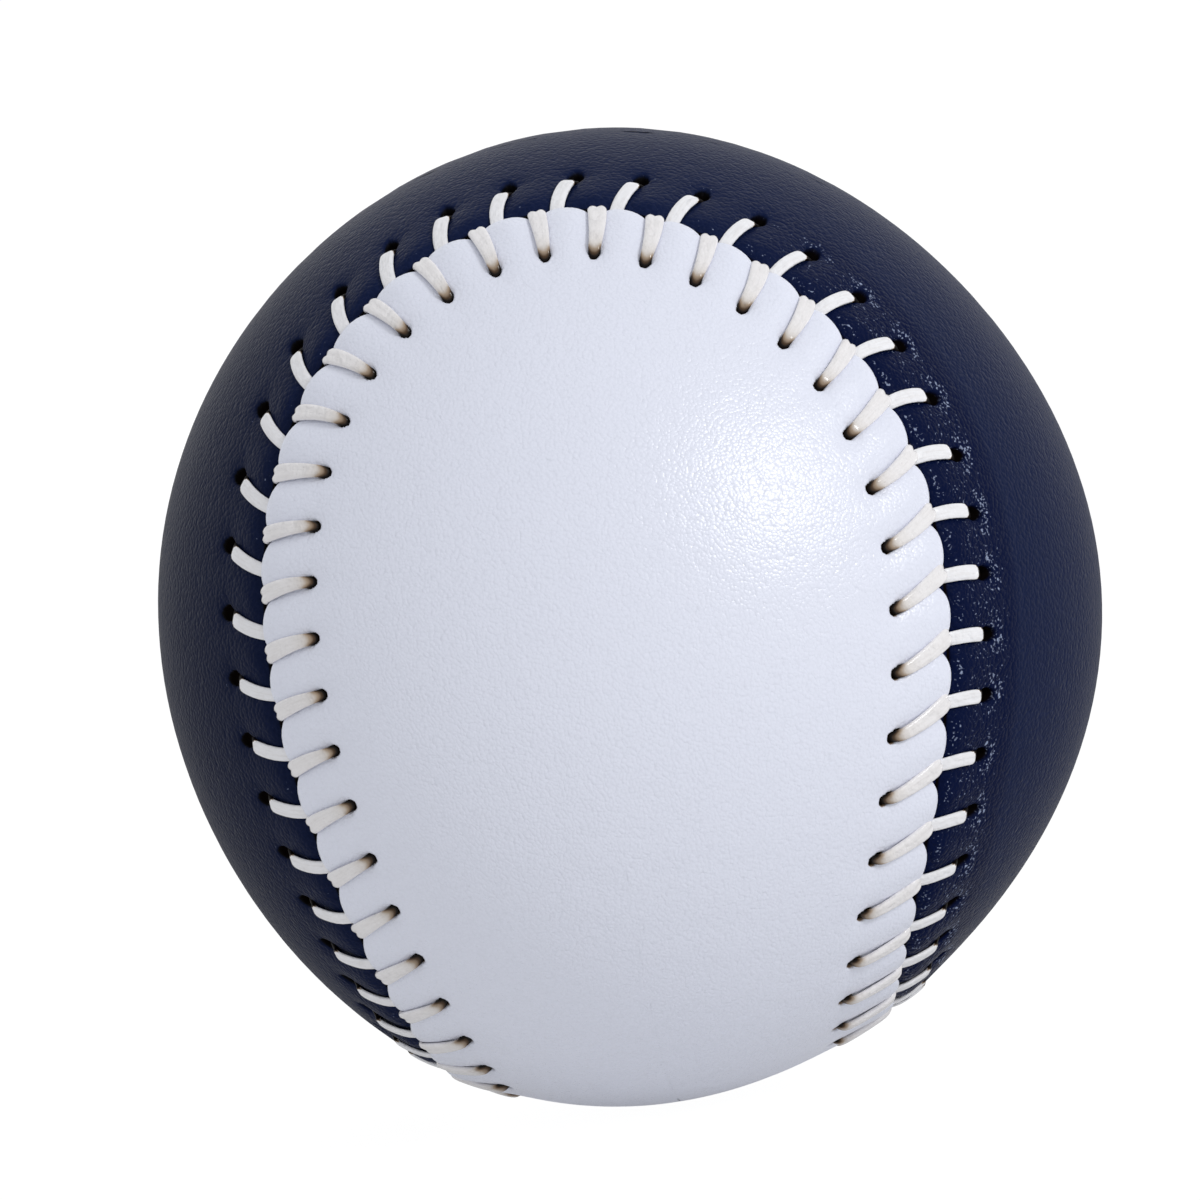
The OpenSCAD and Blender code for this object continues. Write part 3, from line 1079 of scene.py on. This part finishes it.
@dataclass(frozen=True)
class WoundYarn:
    """Yarn wound tightly round the ball in crossing directions."""

    name: str
    colour: Colour
    shade: Colour
    spacing: float
    relief: float = 0.3
    tilts: tuple[Triple, ...] = ((0.3, 0.5, 0.8), (1.4, -0.6, 0.2), (-0.4, 1.2, 1.1))

    def material(self) -> Material:
        """Makes the yarn.

        Returns:
            Its material.
        """
        s = Shader.material(self.name)
        where = s.position()
        bands = []
        for k, tilt in enumerate(self.tilts):
            turned = s.node("Mapping", {"Vector": where, "Rotation": tilt})
            bands.append(s.node(
                "TexWave",
                {"Vector": turned, "Scale": 1.6 / self.spacing, "Distortion": 1.5 + k,
                 "Detail": 2, "Detail Scale": 0.4},
                {"wave_type": "BANDS", "wave_profile": "SIN"}, "Fac"))
        patch = s.noise(where, 0.08, 1).step(0.42, 0.52)
        other = s.noise(where + 40.0, 0.08, 1).step(0.45, 0.55)
        mixed = bands[0] * (1 - patch) + bands[1] * patch
        mixed = mixed * (1 - other) + bands[2] * other
        fuzz = s.noise(where, 6.0, 3, 0.7)
        return s.finish({
            "Base Color": s.mix(1 - mixed, self.colour, self.shade),
            "Roughness": 0.85 + fuzz * 0.1, "Sheen Weight": 0.3,
            "Normal": s.bump(mixed + fuzz * 0.3, self.relief)})


@dataclass(frozen=True)
class MouldedRubber:
    """Moulded rubber with a faint mould texture and dusty patches."""

    name: str
    colour: Colour
    dust: Colour
    roughness: float
    relief: float = 0.03

    def material(self) -> Material:
        """Makes the rubber.

        Returns:
            Its material.
        """
        s = Shader.material(self.name)
        where = s.position()
        patches, specks = s.noise(where, 0.25, 4), s.noise(where, 7.0, 2)
        tone = s.mix(patches.step(0.4, 0.8) * 0.6, self.colour, self.dust)
        return s.finish({
            "Base Color": tone, "Roughness": self.roughness + (patches - 0.5) * 0.2,
            "Normal": s.bump(specks, self.relief)})


@dataclass(frozen=True)
class GroundCork:
    """Ground cork and rubber pressed into a ball."""

    name: str
    colour: Colour
    dark: Colour
    crack: Colour = (0.08, 0.05, 0.03)
    grain: float = 0.9
    relief: float = 0.15

    def material(self) -> Material:
        """Makes the cork.

        Returns:
            Its material.
        """
        s = Shader.material(self.name)
        where = s.position()
        grains = s.node("TexVoronoi", {"Vector": where, "Scale": self.grain}, output="Color")
        gaps = s.cells(where, self.grain, "DISTANCE_TO_EDGE")
        pick = s.node("SeparateColor", {0: grains})
        tone = s.mix(pick.step(0.2, 0.9), self.colour, self.dark)
        tone = s.mix(1 - gaps.step(0.0, 0.08), tone, self.crack)
        return s.finish({
            "Base Color": tone, "Roughness": 0.8 + pick * 0.1,
            "Normal": s.bump(gaps.step(0.0, 0.12), self.relief)})


WHITE_LEATHER = Leather(
    "white leather", colour=(0.8, 0.825, 0.935), shade=(0.76, 0.785, 0.89), cut_and_shade=(0.3, 0.2, 0.12),
    painted_hole_shade=(0.012, 0.008, 0.006), roughness=0.29, shine=0.7, grain=0.023, fineness=3.7)
NAVY_LEATHER = Leather(
    "navy leather", colour=(0.0035, 0.009, 0.04), shade=(0.008, 0.0145, 0.053),
    cut_and_shade=(0.002, 0.002, 0.003), painted_hole_shade=(0.004, 0.0027, 0.0022), roughness=0.5, shine=0.05,
    grain=0.055, fineness=2.8, sheen=0.1, seam_shade_paint=(0.001, 0.004, 0.03), painted_left_shade=0.35)
WAXED_THREAD = WaxedCotton(
    "waxed thread", colour=(0.865, 0.845, 0.85), shade=(0.735, 0.71, 0.7),
    navy_leg_tone=(0.885, 0.885, 0.91), root_stain_and_shade=(
        (0, (0.74, 0.7, 0.65)), (0.3, (0.35, 0.265, 0.19)), (0.55, (0.08, 0.045, 0.022)),
        (0.8, (0.006, 0.004, 0.003))))


@dataclass
class Core:
    """The ball's hidden layers, which keep their solids and take finishes."""

    layers: tuple[tuple[str, GroundCork | MouldedRubber | WoundYarn, tuple[str, ...]], ...] = (
        ("cork", GroundCork("ground cork", (0.55, 0.34, 0.18), dark=(0.3, 0.16, 0.08)),
         ("cork_centre",)),
        ("black_rubber", MouldedRubber(
            "black rubber", (0.018, 0.018, 0.02), dust=(0.06, 0.06, 0.06), roughness=0.5),
         ("black_shell_upper", "black_shell_lower")),
        ("red_rubber", MouldedRubber(
            "red rubber", (0.42, 0.05, 0.035), dust=(0.5, 0.14, 0.1), roughness=0.45),
         ("centre_washer", "red_jacket")),
        ("grey_wool", WoundYarn("grey wool", (0.36, 0.36, 0.38), (0.12, 0.12, 0.13), spacing=1.4),
         ("inner_wool_winding", "outer_wool_winding")),
        ("white_wool", WoundYarn("white wool", (0.78, 0.76, 0.7), (0.35, 0.33, 0.3), spacing=1.2),
         ("white_wool_winding",)),
        ("cotton", WoundYarn("fine cotton", (0.8, 0.76, 0.66), (0.4, 0.36, 0.28), spacing=0.5),
         ("finishing_winding",)),
    )

    def dress(self, nodes: dict[str, Object]) -> None:
        """Gives each layer its finish.

        Args:
            nodes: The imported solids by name.
        """
        for slot, finish, names in self.layers:
            material = finish.material()
            for name in names:
                nodes[name].data.materials.clear()
                nodes[name].data.materials.append(material)
                log.info("%s takes %s", name, slot)


@dataclass
class Cover:
    """The leather cover: both panels and both threads."""

    ball: Ball
    stitching: Stitching
    thread_seed: int = 11

    def build(self) -> list[Object]:
        """Builds the panels and threads, each in place of its solid.

        Returns:
            The pieces.
        """
        made = []
        for leather, panel in (
            (WHITE_LEATHER, LeatherPanel(Side.WHITE, self.stitching, self.ball)),
            (NAVY_LEATHER, LeatherPanel(
                Side.NAVY, self.stitching, self.ball, hole_half=(0.54, 0.92), hole_shift=-0.2,
                dimple=(0.25, 1.1), puff=(0.26, 1.3), press=0.18)),
        ):
            side = panel.side.name.lower()
            piece = panel.build(f"{side}_panel_leather")
            made.append(self.fit(piece, f"{side}_panel", leather.material()))
        thread = WAXED_THREAD.material()
        for first, name in enumerate(("seam_thread_left", "seam_thread_right")):
            legs = WaxedThread(first, self.stitching, self.ball)
            piece = legs.build(f"{name}_strands", self.thread_seed + first)
            made.append(self.fit(piece, name, thread))
        return made

    def fit(self, piece: Object, node: str, material: Material) -> Object:
        """Puts a piece in a solid's place.

        Args:
            piece: The piece.
            node: The solid it stands for.
            material: Its finish.

        Returns:
            The piece.
        """
        piece.data.materials.append(material)
        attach(piece, BODY)
        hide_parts(node)
        log.info("%s: %d points, stands for %s", piece.name, len(piece.data.vertices), node)
        return piece


@dataclass(frozen=True)
class Lamp:
    """A round lamp: which way it hangs seen from the camera, how wide it looks for its
    distance, how many metres off it is and its power."""

    name: str
    way: Triple
    spread: float
    distance: float
    power: float


@dataclass
class Studio:
    """A plain pale floor under soft light, before a white background."""

    viewpoint: Viewpoint
    floor_half: float = 3.0
    floor_glow: float = 1.1
    glow_share: float = 0.23
    glow_seen: float = 0.65
    surround: float = 0.66
    backdrop: float = 0.5
    backdrop_edge: Span = (0.1, 0.9)
    lamps: tuple[Lamp, ...] = (
        Lamp("key", (0.565, 0.47, 0.675), 0.28, 0.9, 2.7),
        Lamp("rim", (0.9, 0.05, -0.38), 0.2, 0.9, 1.5),
    )

    def build_floor(self, lowest: float) -> None:
        """Lays the floor under the ball, brighter to the camera than to the ball.

        Args:
            lowest: The floor's height, in metres.
        """
        h = self.floor_half
        mesh = bpy.data.meshes.new("floor")
        mesh.from_pydata([(-h, -h, 0), (h, -h, 0), (h, h, 0), (-h, h, 0)], [], [(0, 1, 2, 3)])
        floor = add_object("floor", mesh)
        floor.location = (0, 0, lowest)
        s = Shader.material("pale floor")
        path = s.node("LightPath", output="Is Camera Ray")
        pale = s.node("BsdfDiffuse", {"Color": (0.68, 0.68, 0.68)})
        lit = s.node("Emission", {"Color": (1, 1, 1), "Strength": self.floor_glow})
        share = path * self.glow_seen + self.glow_share
        mesh.materials.append(s.finish(s.node("MixShader", {0: share, 1: pale, 2: lit})))

    def hang_lamps(self) -> None:
        """Hangs the lamps, each turned to the ball."""
        axes = self.viewpoint.axes()
        for lamp in self.lamps:
            data = bpy.data.lights.new(lamp.name, "AREA")
            data.shape, data.size, data.energy = "DISK", lamp.spread * lamp.distance, lamp.power
            spot = Vector(np.array(lamp.way) @ axes).normalized() * lamp.distance
            hung = add_object(lamp.name, data)
            hung.location = spot
            hung.rotation_mode = "QUATERNION"
            hung.rotation_quaternion = (-spot).to_track_quat("-Z", "Y")

    def build_world(self) -> None:
        """Makes the white background and the surrounding light, brighter behind the ball."""
        world = bpy.data.worlds.new("surround")
        bpy.context.scene.world = world
        s = Shader(world)
        behind = tuple(-self.viewpoint.axes()[2])
        glow = s.node("TexCoord", output="Generated").dot(behind)
        strength = glow.step(*self.backdrop_edge) * self.backdrop + self.surround
        path = s.node("LightPath", output="Is Camera Ray")
        around = s.node("Background", {"Color": (0.97, 0.98, 1), "Strength": strength})
        shown = s.node("Background", {"Color": (1, 1, 1)})
        either = s.node("MixShader", {0: path, 1: around, 2: shown})
        s.node("OutputWorld", {"Surface": either})


def main() -> None:
    """Builds the ball and its surroundings."""
    logging.basicConfig(level=logging.INFO, format="%(name)s: %(message)s")
    viewpoint = Viewpoint()
    ball = Ball(viewpoint)
    stitching = Stitching(Seam(ball.radius))
    viewpoint.place_camera(ball.radius)
    Core().dress(frame["nodes"])
    pieces = Cover(ball, stitching).build()
    bpy.context.view_layer.update()
    lowest = min(v.co.z for piece in pieces for v in piece.data.vertices)
    studio = Studio(viewpoint)
    studio.build_floor(lowest)
    studio.hang_lamps()
    studio.build_world()
    scene = bpy.context.scene
    scene.view_settings.view_transform = "Standard"


if __name__ == "__main__":
    main()
